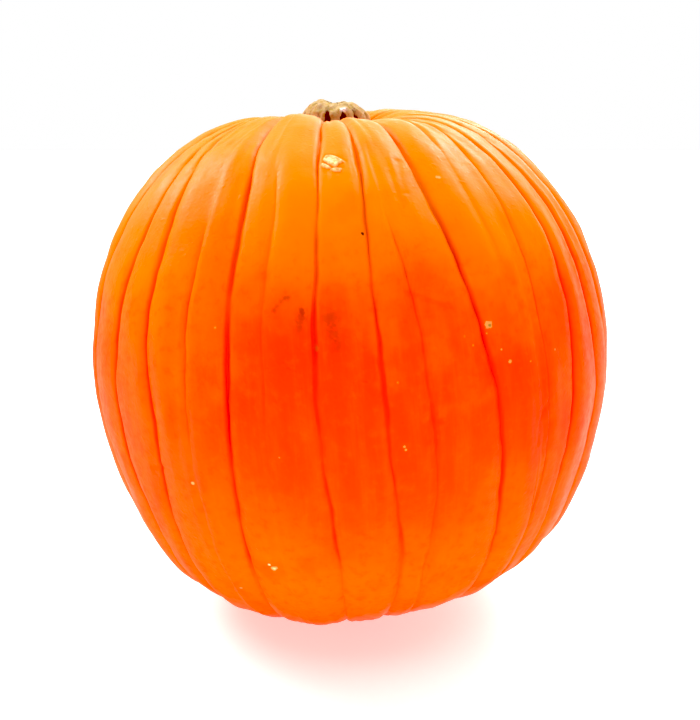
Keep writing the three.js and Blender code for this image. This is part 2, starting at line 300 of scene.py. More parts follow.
def relief(latitude, azimuth):
    # depth below the rib bellies in millimetres, and how much the grooves' red, partly painted shade, shows
    valleys = np.zeros(np.shape(latitude))
    creases = np.zeros(np.shape(latitude))
    lips = np.zeros(np.shape(latitude))
    tintAndShade = np.zeros(np.shape(latitude))
    deepest = grooveLook["depths"]["deep"][0]
    lip = grooveLook["lip"]
    for index, groove in enumerate(grooves):
        away = turnBetween(azimuth, grooveAzimuth(index, latitude))
        length = skinLength(away) * np.cos(np.radians(latitude))
        valley, crease = grooveLook["depths"][groove["kind"]]
        strength = grooveStrength(groove, latitude)
        shallow = 1 - (1 - groove.get("above", 1)) * smoothStep(latitude, *grooveLook["aboveFade"])
        valleys += valley * strength * shallow * np.exp(-away / grooveLook["valleyWidth"])
        draw = random.Random(growth["seed"] * 200 + index)
        patchy = strength * (1 + grooveLook["patchiness"] * strayOf(draw, latitude))
        creases += crease * patchy * np.exp(-away / grooveLook["creaseWidth"])
        patchyLip = strength * np.clip(0.5 + strayOf(draw, latitude), 0, 1.5)
        lips += lip["height"] * patchyLip * np.exp(-((length - lip["away"]) / lip["width"]) ** 2)
        share = patchy * (valley * shallow / deepest) ** 0.5
        tintAndShadeWidth = grooveLook["tintAndShadeWidth"][groove["kind"]]
        tintAndShade = np.maximum(tintAndShade, share * np.exp(-(length / tintAndShadeWidth) ** 2))
    creases *= 1 - smoothStep(-latitude, *grooveLook["creaseFade"])
    creases *= 1 - lossOver(grooveLook["creaseTop"], latitude)
    tintAndShade *= 1 - lossOver(grooveLook["tintAndShadeTop"], latitude) - lossOver(grooveLook["tintAndShadeFoot"], -latitude)
    side = sideCreaseMask(latitude, azimuth, sideCreases["width"])
    depth = (valleys + creases - lips) * ribbing(latitude) + sideCreases["depth"] * side
    for middleLatitude, middleAzimuth, latitudeReach, azimuthReach, sink in fruit["hollows"]:
        away = (latitude - middleLatitude) / latitudeReach
        aside = turnBetween(azimuth, middleAzimuth) / azimuthReach
        depth += sink * np.exp(-away * away - aside * aside)
    return depth, np.maximum(np.clip(tintAndShade, 0, 1), sideCreases["tintAndShade"] * side)


def backSwell(latitude, azimuth):
    swell = fruit["backSwell"]
    turn = np.radians(azimuth)
    back = (1 - np.cos(turn)) / 2
    pair = np.cos(2 * turn + np.radians(swell["pairTurn"]))
    triple = np.sin(3 * turn + np.radians(latitude + swell["tripleTurn"]))
    wave = pair + swell["tripleShare"] * triple
    return swell["height"] * back * back * wave * np.cos(np.radians(latitude))


def hollow(shape, x, y):
    return shape["depth"] * np.exp(-((x - shape["offset"]) ** 2 + y * y) / shape["width"] ** 2)


def skinPoint(latitude, azimuth, raised=0):
    # points of the upright fruit's skin round its own middle, in millimetres
    up, turn = np.radians(latitude), np.radians(azimuth)
    depth, _ = relief(latitude, azimuth)
    distance = smoothTable(fruit["outline"], latitude) + backSwell(latitude, azimuth) - depth + raised
    x = distance * np.cos(up) * np.sin(turn)
    y = -distance * np.cos(up) * np.cos(turn)
    z = distance * np.sin(up)
    carried = np.where(z > 0, fruit["bowStemEnd"], fruit["bowBlossomEnd"]) * (z / fruit["bowReach"]) ** 2
    ends = np.where(z > 0, -hollow(fruit["stemHollow"], x, y), hollow(fruit["blossomHollow"], x, y))
    return np.stack([x - carried, y, z + ends], -1)


def leanMatrix():
    forward = Matrix.Rotation(math.radians(fruit["leanForward"]), 3, "X")
    left = Matrix.Rotation(math.radians(-fruit["leanLeft"]), 3, "Y")
    return np.array(left @ forward)


def readPoints(piece):
    points = np.empty(len(piece.data.vertices) * 3)
    piece.data.vertices.foreach_get("co", points)
    return points.reshape(-1, 3)


def writePoints(piece, points):
    piece.data.vertices.foreach_set("co", points.ravel())
    piece.data.update()


def deselectAll():
    bpy.ops.object.select_all(action="DESELECT")


def pick(piece):
    deselectAll()
    piece.select_set(True)
    bpy.context.view_layer.objects.active = piece


def addModifier(piece, kind, **settings):
    modifier = piece.modifiers.new(kind.title(), kind)
    for name, value in settings.items():
        setattr(modifier, name, value)
    pick(piece)
    bpy.ops.object.modifier_apply(modifier=modifier.name)


def addTexture(name, kind, **settings):
    texture = bpy.data.textures.new(name, kind)
    for key, value in settings.items():
        setattr(texture, key, value)
    return texture


def setAttribute(piece, name, values):
    layer = piece.data.attributes.new(name, "FLOAT", "POINT")
    layer.data.foreach_set("value", np.asarray(values, np.float32))


def setVectorAttribute(piece, name, values):
    layer = piece.data.attributes.new(name, "FLOAT_VECTOR", "POINT")
    layer.data.foreach_set("vector", np.asarray(values, np.float32).ravel())


def srgb(code):
    # a hex colour as the linear RGBA that sockets take
    parts = [int(code[i:i + 2], 16) / 255 for i in (1, 3, 5)]
    linear = [c / 12.92 if c <= 0.04045 else ((c + 0.055) / 1.055) ** 2.4 for c in parts]
    return (*linear, 1)


def addNode(tree, kind, inputs=None, **settings):
    node = tree.nodes.new(kind)
    for name, value in settings.items():
        setattr(node, name, value)
    for key, value in (inputs or {}).items():
        if isinstance(value, bpy.types.NodeSocket):
            tree.links.new(value, node.inputs[key])
        else:
            node.inputs[key].default_value = value
    return node


def newMaterial(name):
    material = bpy.data.materials.new(name)
    material.use_nodes = True
    material.node_tree.nodes.clear()
    return material, material.node_tree


def mixColour(tree, share, first, second):
    return addNode(tree, "ShaderNodeMix", {0: share, 6: first, 7: second}, data_type="RGBA").outputs[2]


def mapRange(tree, value, fromLow, fromHigh, toLow=0, toHigh=1):
    inputs = {"Value": value, "From Min": fromLow, "From Max": fromHigh, "To Min": toLow, "To Max": toHigh}
    return addNode(tree, "ShaderNodeMapRange", inputs, interpolation_type="SMOOTHSTEP").outputs["Result"]


def noiseOf(tree, vector, size, detail=3, roughness=0.5):
    # size is the width of one patch in metres
    inputs = {"Vector": vector, "Scale": 1 / size, "Detail": detail, "Roughness": roughness}
    return addNode(tree, "ShaderNodeTexNoise", inputs).outputs["Fac"]


def mapLengths(tree, value, lengths, toLow=0, toHigh=1):
    # as mapRange, between two lengths in millimetres
    return mapRange(tree, value, lengths[0] * mm, lengths[1] * mm, toLow, toHigh)


def times(tree, first, second):
    return addNode(tree, "ShaderNodeMath", {0: first, 1: second}, operation="MULTIPLY").outputs[0]


def plus(tree, first, second):
    return addNode(tree, "ShaderNodeMath", {0: first, 1: second}, operation="ADD").outputs[0]


def distanceTo(tree, place, point):
    return addNode(tree, "ShaderNodeVectorMath", {0: place, 1: point}, operation="DISTANCE").outputs["Value"]


def attributeOf(tree, name, output="Fac"):
    return addNode(tree, "ShaderNodeAttribute", attribute_name=name).outputs[output]


# The colours of the rind and where they lie. Heights and reaches are in millimetres.
rindLook = {
    "orange": "#FF6600",
    "deepOrange": "#FC3A00",
    "amber": "#FF7E00",
    # the grooves' red: partly the rind's own colour and partly painted shade in the creases
    "crease": "#EC2E00",
    "topCreaseTintAndShade": "#E86C00",
    "shoulder": "#FF7C08",
    "scarSkin": "#FFE2A0",
    "scarHollow": "#E8A860",
    "wobble": {"span": (0.25, 0.75), "reach": 18},  # how far the bands of colour stray up and down
    "amberHeights": (185, 275),
    "amberBack": {"depths": (110, 10), "share": 0.3},  # less of it towards the back
    "beltRises": (40, 150),  # heights between which a redder belt comes and goes
    "beltFalls": (235, 170),
    "reddestSpot": (12, 12),  # latitude and azimuth where the belt is reddest, at the front: partly the rind's own red and partly painted shade of the dim front
    "reddestReach": (135, 60),  # how far from there it is down to the least, and how far it is full
    "reddestLeast": 0.4,
    "footShadeHeights": (70, 8),  # heights over which the foot reddens: painted shade that holds back the floor's bounce light
    "footShadeShare": 0.4,
    "redTop": 0.7,  # share of the amber at which red patches are gone
    # width of one patch, detail and roughness of the uneven colours
    "noises": {
        "patches": (75, 3, 0.5),
        "blotches": (22, 3, 0.5),
        "strands": (8, 4, 0.6),
        "mottle": (4.5, 3, 0.6),
    },
    # the span of each noise over which a colour comes in, and how much of it at most
    "layers": [
        {"noise": "blotches", "span": (0.5, 0.72), "share": 0.35, "colour": "deepOrange", "onTop": False},
        {"noise": "blotches", "span": (0.48, 0.3), "share": 0.3, "colour": "orange", "onTop": True},
        {"noise": "strands", "span": (0.42, 0.75), "share": 0.15, "colour": "shoulder", "onTop": True},
        {"noise": "mottle", "span": (0.5, 0.75), "share": 0.38, "colour": "deepOrange", "onTop": False},
        {"noise": "mottle", "span": (0.5, 0.2), "share": 0.1, "colour": "shoulder", "onTop": True},
    ],
    "strandRate": 0.12,  # how fast the strands change along a rib, against 1 across it
    # stains round the stem and the blossom end, strongest at the first reach and gone at the second
    "footStain": {"colour": "#9A6A1E", "reach": (21, 34)},
    "blossomStain": {"colour": "#8A5A2E", "reach": (5, 17)},
    "stainShare": 0.8,
    "stainRagged": {"size": 8, "reach": 6},
    "grooveSpan": (0.15, 0.95),  # how the red of the grooves, partly painted shade, comes in, and how much of it at most
    "grooveShare": 0.9,
    "markRagged": {"size": 2, "least": 0.65, "most": 1.3},
    "scarPatches": {"size": 2, "span": (0.4, 0.65)},
    "roughness": 0.45,
    "smoother": 0.05,  # how much the roughness falls and rises with the mottle
    "rougher": 0.07,
    "grooveDryness": 0.15,  # and how much is added in the grooves and on the scar
    "scarDryness": 0.3,
    "poreSize": 1.6,
    "pimples": {"size": 3.5, "from": 0.6, "to": 0.85},
    "bumpStrength": 0.5,
    "bumpHeight": 0.25,
}

# Spots on the rind: latitude, azimuth, radius in millimetres, colour, strength, and softness of the edge.
marks = [
    (26.0, -6.9, 2.6, "#8C2400", 0.6, 0.8),
    (24.8, -7.1, 4.2, "#A83000", 0.6, 1),
    (23.2, -7.5, 4.2, "#B43400", 0.5, 1),
    (26.3, -12.0, 2.0, "#A83000", 0.6, 1),
    (27.0, -11.4, 1.9, "#B43400", 0.5, 1),
    (27.6, -10.7, 2.0, "#B43400", 0.5, 1),
    (28.2, -10.0, 2.3, "#A83000", 0.6, 1),
    (28.3, -9.3, 2.0, "#B43400", 0.5, 1),
    (24.6, -1.9, 7.0, "#A03400", 0.55, 1),
    (22.0, -1.3, 6.5, "#AC3400", 0.5, 1),
    (19.8, -0.9, 5.5, "#B43000", 0.5, 1),
    (19.9, -4.9, 2.2, "#C06428", 0.5, 1),
    (38.4, 6.1, 0.9, "#3A1400", 0.9, 0.4),
    (20.0, 27.4, 2.1, "#E09A50", 0.9, 0.4),
    (19.8, 27.7, 0.8, "#8C6A28", 0.8, 0.6),
    (47.3, 27.8, 1.0, "#FFB870", 0.7, 0.9),
    (47.0, 28.3, 1.2, "#FFC078", 0.7, 0.9),
    # a painted shadow under the pale crescent
    (45.8, 28.8, 2.2, "#E07818", 0.7, 0.9),
    (-22.8, -18.3, 1.0, "#FFE8A0", 0.9, 0.5),
    (-23.7, -17.5, 1.9, "#B8B060", 0.9, 0.5),
    (-23.8, -17.4, 1.0, "#E8E0A0", 0.8, 0.6),
    (-32.0, -28.0, 1.0, "#FFB070", 0.7, 0.8),
    (18.6, 26.9, 0.7, "#F08840", 0.8, 0.8),
    (17.1, 23.4, 0.7, "#FF8C3C", 0.8, 0.8),
    (18.9, 21.9, 0.8, "#FF7430", 0.7, 0.9),
    (15.3, 29.2, 0.7, "#FF9448", 0.8, 0.8),
    (12.9, 30.5, 1.0, "#FFA050", 0.8, 0.7),
    (11.9, 35.1, 0.7, "#FF8C40", 0.8, 0.8),
    (12.3, 42.4, 0.9, "#FFA458", 0.8, 0.7),
    (12.9, 8.7, 0.8, "#FF7C38", 0.8, 0.8),
    (1.6, 8.9, 1.0, "#F0A048", 0.8, 0.6),
    (1.0, 9.1, 0.8, "#F0A048", 0.8, 0.6),
    (-5.5, -31.3, 1.0, "#FFC070", 0.8, 0.6),
    (1.3, -12.6, 0.8, "#FF8844", 0.7, 0.8),
    (23.5, -24.1, 0.9, "#FF9448", 0.7, 0.8),
]


def stainAround(tree, colour, place, centre, stain):
    # a stain round a point, with a ragged edge
    ragged = rindLook["stainRagged"]
    edge = noiseOf(tree, place, ragged["size"] * mm, 3)
    stray = mapRange(tree, edge, *noiseSpan, -ragged["reach"] * mm, ragged["reach"] * mm)
    away = plus(tree, distanceTo(tree, place, centre), stray)
    inner, outer = stain["reach"]
    share = mapLengths(tree, away, (outer, inner), 0, rindLook["stainShare"])
    return mixColour(tree, share, colour, srgb(stain["colour"]))


def bandColour(tree, piece, place, wobble, shift):
    # orange with a red belt, red at the foot and amber at the stem, and the share of the amber
    axes = addNode(tree, "ShaderNodeSeparateXYZ", {0: place}).outputs
    height = plus(tree, axes["Z"], wobble)
    amberBack = rindLook["amberBack"]
    sunnySide = mapLengths(tree, axes["Y"], amberBack["depths"], amberBack["share"], 1)
    towardsStem = times(tree, mapLengths(tree, height, rindLook["amberHeights"]), sunnySide)
    belowBelt = mapLengths(tree, height, rindLook["beltRises"])
    aboveBelt = mapLengths(tree, height, rindLook["beltFalls"])
    # the red that grows towards the front is partly the rind's own colour and partly painted shade
    reddestSpot = placeOnSkin(piece, *rindLook["reddestSpot"], shift)
    reddestAway = plus(tree, distanceTo(tree, place, reddestSpot), wobble)
    nearReddest = mapLengths(tree, reddestAway, rindLook["reddestReach"], rindLook["reddestLeast"], 1)
    belt = times(tree, times(tree, belowBelt, aboveBelt), nearReddest)
    # painted shade: the foot is reddened against the light thrown up by the floor
    foot = mapLengths(tree, axes["Z"], rindLook["footShadeHeights"], 0, rindLook["footShadeShare"])

    deepOrange = srgb(rindLook["deepOrange"])
    colour = mixColour(tree, belt, srgb(rindLook["orange"]), deepOrange)
    colour = mixColour(tree, foot, colour, deepOrange)
    colour = mixColour(tree, towardsStem, colour, srgb(rindLook["amber"]))
    return colour, towardsStem


def markedColour(tree, colour, piece, place, shift):
    # the spots on the rind, each with an uneven outline
    ragged = rindLook["markRagged"]
    edge = noiseOf(tree, place, ragged["size"] * mm, 3)
    edge = mapRange(tree, edge, *noiseSpan, ragged["least"], ragged["most"])
    for latitude, azimuth, radius, tone, strength, softness in marks:
        distance = distanceTo(tree, place, placeOnSkin(piece, latitude, azimuth, shift))
        away = addNode(tree, "ShaderNodeMath", {0: distance, 1: edge}, operation="DIVIDE").outputs[0]
        outer = radius * mm
        share = mapRange(tree, away, outer, outer * (1 - softness), 0, strength)
        colour = mixColour(tree, share, colour, srgb(tone))
    return colour


def rindBump(tree, place):
    # pores, and pimples here and there
    pores = noiseOf(tree, place, rindLook["poreSize"] * mm, 2)
    pimples = rindLook["pimples"]
    pimpleNoise = noiseOf(tree, place, pimples["size"] * mm, 1)
    bumps = plus(tree, mapRange(tree, pimpleNoise, pimples["from"], pimples["to"]), pores)
    distance = rindLook["bumpHeight"] * mm
    inputs = {"Height": bumps, "Strength": rindLook["bumpStrength"], "Distance": distance}
    return addNode(tree, "ShaderNodeBump", inputs).outputs["Normal"]


def rindMaterial(piece, shift):
    # waxy pumpkin rind, satin: orange with a red belt, amber at the stem and red in the grooves. The grooves'
    # red and the belt's reddest front are partly painted shade; the red foot and the lesser amber at the back
    # are painted shade.
    material, tree = newMaterial("waxyRind")
    place = addNode(tree, "ShaderNodeTexCoord").outputs["Object"]
    along = attributeOf(tree, "alongRib", "Vector")
    groove = attributeOf(tree, "groove")
    pale = attributeOf(tree, "scar")
    noises = {}
    for name, (size, detail, uneven) in rindLook["noises"].items():
        noises[name] = noiseOf(tree, along if name == "strands" else place, size * mm, detail, uneven)

    reach = rindLook["wobble"]["reach"] * mm
    wobble = mapRange(tree, noises["patches"], *rindLook["wobble"]["span"], -reach, reach)
    colour, towardsStem = bandColour(tree, piece, place, wobble, shift)
    belowTop = mapRange(tree, towardsStem, rindLook["redTop"], 0)
    for layer in rindLook["layers"]:
        share = mapRange(tree, noises[layer["noise"]], *layer["span"], 0, layer["share"])
        if not layer["onTop"]:
            share = times(tree, share, belowTop)
        colour = mixColour(tree, share, colour, srgb(rindLook[layer["colour"]]))
    colour = stainAround(tree, colour, place, stemFoot(shift), rindLook["footStain"])
    colour = stainAround(tree, colour, place, blossomEnd(shift), rindLook["blossomStain"])
    # the grooves' red, partly the rind's own colour and partly painted shade in the creases
    grooveShare = mapRange(tree, groove, *rindLook["grooveSpan"], 0, rindLook["grooveShare"])
    creaseTintAndShade = mixColour(tree, towardsStem, srgb(rindLook["crease"]), srgb(rindLook["topCreaseTintAndShade"]))
    colour = mixColour(tree, grooveShare, colour, creaseTintAndShade)
    colour = markedColour(tree, colour, piece, place, shift)
    scarPatches = rindLook["scarPatches"]
    scarTone = mapRange(tree, noiseOf(tree, place, scarPatches["size"] * mm, 3), *scarPatches["span"])
    dry = mixColour(tree, scarTone, srgb(rindLook["scarSkin"]), srgb(rindLook["scarHollow"]))
    colour = mixColour(tree, pale, colour, dry)

    smoothest = rindLook["roughness"] - rindLook["smoother"]
    roughest = rindLook["roughness"] + rindLook["rougher"]
    roughness = mapRange(tree, noises["mottle"], *noiseSpan, smoothest, roughest)
    roughness = plus(tree, times(tree, groove, rindLook["grooveDryness"]), roughness)
    roughness = plus(tree, times(tree, pale, rindLook["scarDryness"]), roughness)
    shader = addNode(tree, "ShaderNodeBsdfPrincipled", {
        "Base Color": colour,
        "Roughness": roughness,
        "IOR": 1.45,
        "Specular IOR Level": 0.15,
        "Normal": rindBump(tree, place),
    })
    addNode(tree, "ShaderNodeOutputMaterial", {"Surface": shader.outputs[0]})
    return material


# The colours of the stem. Sizes are the width of one patch in millimetres.
stemLook = {
    "cork": "#F0DCC6",
    "paleCork": "#FFF6F0",
    # painted shade in the clefts and pits
    "cleft": "#5A1C10",
    "toneSpan": (0.42, 0.6),
    "cleftShadeSpan": (0.95, 1.3),
    "noises": {"patches": (7, 3), "tones": (5, 3), "spots": (3.5, 2)},
    # grey-green and mauve patches, mossy spots, and brown painted shade in the dents, as the layers of the
    # rind
    "layers": [
        {"noise": "patches", "span": (0.51, 0.56), "share": 0.85, "colour": "#B6C0B0"},
        {"noise": "patches", "span": (0.47, 0.42), "share": 0.7, "colour": "#C8ACB6"},
        {"noise": "spots", "span": (0.57, 0.62), "share": 0.8, "colour": "#989618"},
        {"noise": "spots", "span": (0.42, 0.36), "share": 0.8, "colour": "#B08C4C"},
        # brown painted shade in the sunken dents
        {"noise": "dents", "span": (0.25, 0.9), "share": 0.85, "colour": "#B08C4C"},
    ],
    "dentShade": 0.6,  # how much painted shade a dent gets, and how much the shade varies
    "shadeStray": 0.3,
    "grain": 2,
    "bumpStrength": 0.6,
    "bumpHeight": 0.6,
}


def corkMaterial():
    # dried corky stem, matt: cream and tan with grey, mauve and mossy patches, and dark red painted shade in
    # the clefts and dents
    material, tree = newMaterial("corkyStem")
    place = addNode(tree, "ShaderNodeTexCoord").outputs["Object"]
    cleft = attributeOf(tree, "cleft")
    noises = {"dents": attributeOf(tree, "dent")}
    for name, (size, detail) in stemLook["noises"].items():
        noises[name] = noiseOf(tree, place, size * mm, detail)
    tones = mapRange(tree, noises["tones"], *stemLook["toneSpan"])
    colour = mixColour(tree, tones, srgb(stemLook["cork"]), srgb(stemLook["paleCork"]))
    for layer in stemLook["layers"]:
        share = mapRange(tree, noises[layer["noise"]], *layer["span"], 0, layer["share"])
        colour = mixColour(tree, share, colour, srgb(layer["colour"]))
    stray = stemLook["shadeStray"]
    # painted shade: dark red in the clefts and in the deepest dents
    paintedShade = plus(tree, cleft, times(tree, noises["dents"], stemLook["dentShade"]))
    paintedShade = plus(tree, paintedShade, mapRange(tree, noises["tones"], *noiseSpan, -stray, stray))
    paintedShade = mapRange(tree, paintedShade, *stemLook["cleftShadeSpan"])
    colour = mixColour(tree, paintedShade, colour, srgb(stemLook["cleft"]))
    bump = addNode(tree, "ShaderNodeBump", {
        "Height": noiseOf(tree, place, stemLook["grain"] * mm, 5, 0.65),
        "Strength": stemLook["bumpStrength"],
        "Distance": stemLook["bumpHeight"] * mm,
    })
    shader = addNode(tree, "ShaderNodeBsdfPrincipled", {
        "Base Color": colour,
        "Roughness": 0.95,
        "Specular IOR Level": 0.1,
        "Normal": bump.outputs["Normal"],
    })
    addNode(tree, "ShaderNodeOutputMaterial", {"Surface": shader.outputs[0]})
    return material


def floorMaterial():
    # smooth pale paper sweep, matt
    material, tree = newMaterial("paleFloor")
    shader = addNode(tree, "ShaderNodeBsdfPrincipled", {
        "Base Color": srgb("#F4F4F2"),
        "Roughness": 0.9,
        "Emission Color": srgb("#FFFFFF"),  # lit from below, as a shadowless table is
        "Emission Strength": 0.5,
    })
    addNode(tree, "ShaderNodeOutputMaterial", {"Surface": shader.outputs[0]})
    return material


def columnGrid():
    # latitude of every row, and azimuth of every column in it: columns follow the grooves
    shares = np.arange(fruit["rows"] + 1) / fruit["rows"]
    across = 1 - 2 * shares
    crowd = fruit["poleCrowding"]
    latitudes = 90 * ((1 - crowd) * across + crowd * np.sin(np.pi / 2 * across))
    steps = np.arange(fruit["columnsPerRib"]) / fruit["columnsPerRib"]
    steps = steps - fruit["grooveCrowding"] * np.sin(2 * np.pi * steps) / (2 * np.pi)
    starts = np.stack([grooveAzimuth(i, latitudes) for i in range(len(grooves))], -1)
    ends = np.concatenate([starts[:, 1:], starts[:, :1] + fullTurn], -1)
    azimuths = starts[:, :, None] + (ends - starts)[:, :, None] * steps
    return latitudes, azimuths.reshape(len(latitudes), -1), steps


def unevenGrowth(latitude, azimuth, rib, share):
    # how far the skin stands out of its plain form: uneven ribs, and strands along them
    draw = random.Random(growth["seed"])
    swells = np.array([draw.uniform(-1, 1) for _ in grooves])
    tilts = np.array([draw.uniform(-1, 1) for _ in grooves])
    raised = growth["ribSwell"] * swells[rib] * np.sin(np.pi * share) ** 2
    raised += growth["ribTilt"] * tilts[rib] * np.sin(2 * np.pi * share)
    for _ in range(growth["strandCount"]):
        waves = draw.randint(*growth["strandWaves"])
        bend = draw.uniform(-growth["strandBend"], growth["strandBend"])
        phase = draw.uniform(0, 2 * np.pi)
        sways = draw.uniform(*growth["strandSways"])
        sway = bend * np.sin(np.radians(latitude * sways + draw.uniform(0, fullTurn)))
        raised += growth["strandHeight"] * np.sin(waves * np.radians(azimuth) + phase + sway)
    return raised * np.cos(np.radians(latitude)) ** 0.5


def edgeDistance(points, outline):
    # how far inside a closed outline each point is, negative outside it
    nearest = np.full(len(points), farAway)
    inside = np.zeros(len(points), bool)
    for start, end in zip(outline, outline[1:] + outline[:1]):
        start, along = np.array(start), np.array(end) - np.array(start)
        away = points - start
        share = np.clip(away @ along / (along @ along), 0, 1)
        nearest = np.minimum(nearest, np.linalg.norm(away - share[:, None] * along, axis=1))
        crosses = (start[1] > points[:, 1]) != (start[1] + along[1] > points[:, 1])
        height = along[1] if along[1] else 1
        inside ^= crosses & (points[:, 0] < start[0] + along[0] * away[:, 1] / height)
    return np.where(inside, nearest, -nearest)


def scarPlace(latitude, azimuth):
    # millimetres to the right of the scar's middle and up from it
    scarLatitude, scarAzimuth = scar["at"]
    across = (azimuth - scarAzimuth + fullTurn / 2) % fullTurn - fullTurn / 2
    right = skinLength(across) * np.cos(np.radians(scarLatitude))
    return np.stack([right, skinLength(latitude - scarLatitude)], -1)


def scarRelief(latitude, azimuth):
    # curled flap edges round a dished middle, and how much of the pale dry skin shows
    place = scarPlace(latitude, azimuth)
    rise = np.zeros(len(place))
    pale = np.zeros(len(place))
    trough = scar["trough"]
    for flap in scar["flaps"]:
        inside = edgeDistance(place, flap)
        dish = scar["dish"] * smoothStep(inside, *scar["dishesOver"])
        rise += scar["rise"] * smoothStep(inside, *scar["risesOver"]) - dish
        rise -= trough["depth"] * np.exp(-(np.minimum(inside, 0) / trough["width"]) ** 2) * (inside < 0)
        pale = np.maximum(pale, smoothStep(inside, *scar["palesOver"]))
    return rise, pale


def standOnGround(points):
    # presses the lowest skin flat and puts the middle of the fruit where the frame has it
    low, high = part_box("fruit")
    middle = (np.array(low) + np.array(high)) / 2
    ground = points[:, 2].min() + fruit["flatDepth"] * mm
    points[:, 2] = np.maximum(points[:, 2], ground)
    centre = (points.min(0) + points.max(0)) / 2
    shift = np.array([middle[0] - centre[0], middle[1] - centre[1], low[2] - ground])
    return points + shift, shift


def refine(piece, mask, cuts):
    # splits the faces whose corners are all in the mask, where finer shapes will be
    deselectAll()
    for face in piece.data.polygons:
        face.select = all(mask[i] for i in face.vertices)
    for edge in piece.data.edges:
        edge.select = False
    for vertex in piece.data.vertices:
        vertex.select = False
    pick(piece)
    bpy.ops.object.mode_set(mode="EDIT")
    bpy.ops.mesh.select_mode(type="FACE")
    bpy.ops.mesh.subdivide(number_cuts=cuts)
    bpy.ops.object.mode_set(mode="OBJECT")


def attributeValues(piece, name):
    values = np.empty(len(piece.data.vertices), np.float32)
    piece.data.attributes[name].data.foreach_get("value", values)
    return values.astype(float)


def makeFruit():
    latitudes, azimuths, steps = columnGrid()
    columns = azimuths.shape[1]
    deselectAll()
    ballRadius = fruit["bowReach"] * mm
    bpy.ops.mesh.primitive_uv_sphere_add(segments=columns, ring_count=fruit["rows"], radius=ballRadius)
    piece = bpy.context.active_object
    piece.name = "pumpkinFruit"
    ball = readPoints(piece)
    polar = np.arccos(np.clip(ball[:, 2] / np.linalg.norm(ball, axis=1), -1, 1))
    row = np.rint(polar / np.pi * fruit["rows"]).astype(int)
    column = np.rint(np.arctan2(ball[:, 0], -ball[:, 1]) / (2 * np.pi) * columns).astype(int) % columns
    latitude, azimuth = latitudes[row], azimuths[row, column]
    rib, share = column // fruit["columnsPerRib"], steps[column % fruit["columnsPerRib"]]
    setAttribute(piece, "latitude", latitude)
    setAttribute(piece, "azimuth", azimuth)
    setAttribute(piece, "raised", unevenGrowth(latitude, azimuth, rib, share))

    nearScar = np.abs(scarPlace(latitude, azimuth)).max(1) < scar["fineReach"]
    refine(piece, nearScar, scar["fineCuts"])
    latitude, azimuth = attributeValues(piece, "latitude"), attributeValues(piece, "azimuth")
    nearCreases = sideCreaseMask(latitude, azimuth, sideCreases["fineReach"]) > sideCreases["fineFrom"]
    refine(piece, nearCreases, sideCreases["fineCuts"])

    latitude, azimuth = attributeValues(piece, "latitude"), attributeValues(piece, "azimuth")
    rise, pale = scarRelief(latitude, azimuth)
    raised = attributeValues(piece, "raised") + rise
    writePoints(piece, skinPoint(latitude, azimuth, raised) * mm)
    for size, lumpHeight in growth["lumps"]:
        texture = addTexture("lumps", "CLOUDS", noise_scale=size * mm, noise_depth=1)
        addModifier(piece, "DISPLACE", texture=texture, strength=lumpHeight * mm, mid_level=0.5)
    points = readPoints(piece) @ leanMatrix().T
    points, shift = standOnGround(points)
    writePoints(piece, points)

    setAttribute(piece, "groove", relief(latitude, azimuth)[1])
    setAttribute(piece, "scar", pale)
    turn = np.radians(azimuth)
    upwards = ballRadius * np.radians(latitude) * rindLook["strandRate"]
    along = np.stack([ballRadius * np.sin(turn), -ballRadius * np.cos(turn), upwards], -1)
    setVectorAttribute(piece, "alongRib", along)
    for name in ("latitude", "azimuth", "raised"):
        piece.data.attributes.remove(piece.data.attributes[name])
    pick(piece)
    bpy.ops.object.shade_smooth()
    print("fruit:", len(piece.data.polygons), "faces")
    return piece, shift


def stemFoot(shift):
    # the bottom of the hollow that the stem grows from
    height = fruit["outline"][-1][1] - fruit["stemHollow"]["depth"]
    foot = np.array([fruit["stemHollow"]["offset"] - fruit["bowStemEnd"], 0, height]) * mm
    return leanMatrix() @ foot + shift


def blossomEnd(shift):
    return leanMatrix() @ (skinPoint(np.array([-90.0]), np.array([0.0]))[0] * mm) + shift


def placeOnSkin(piece, latitude, azimuth, shift):
    # the point of the finished skin at a latitude and azimuth
    point = skinPoint(np.array([float(latitude)]), np.array([float(azimuth)]))[0] * mm
    point = leanMatrix() @ point + shift
    return piece.closest_point_on_mesh(Vector(point))[1]


def stemCleft(azimuth):
    # 1 or so along the clefts between the lobes, and 0 on the lobes
    clefts = []
    for valley, share in stem["valleys"]:
        clefts.append(share * np.exp(-turnBetween(azimuth, valley) / stem["valleyWidth"]))
    return np.max(clefts, axis=0)


def growCork(piece, look, kind, **settings):
    # pushes the skin out and in by one size of the uneven growth
    texture = addTexture("corkyGrowth", kind, noise_scale=look["size"] * mm, **settings)
    addModifier(piece, "DISPLACE", texture=texture, strength=look["height"] * mm, mid_level=look["middle"])


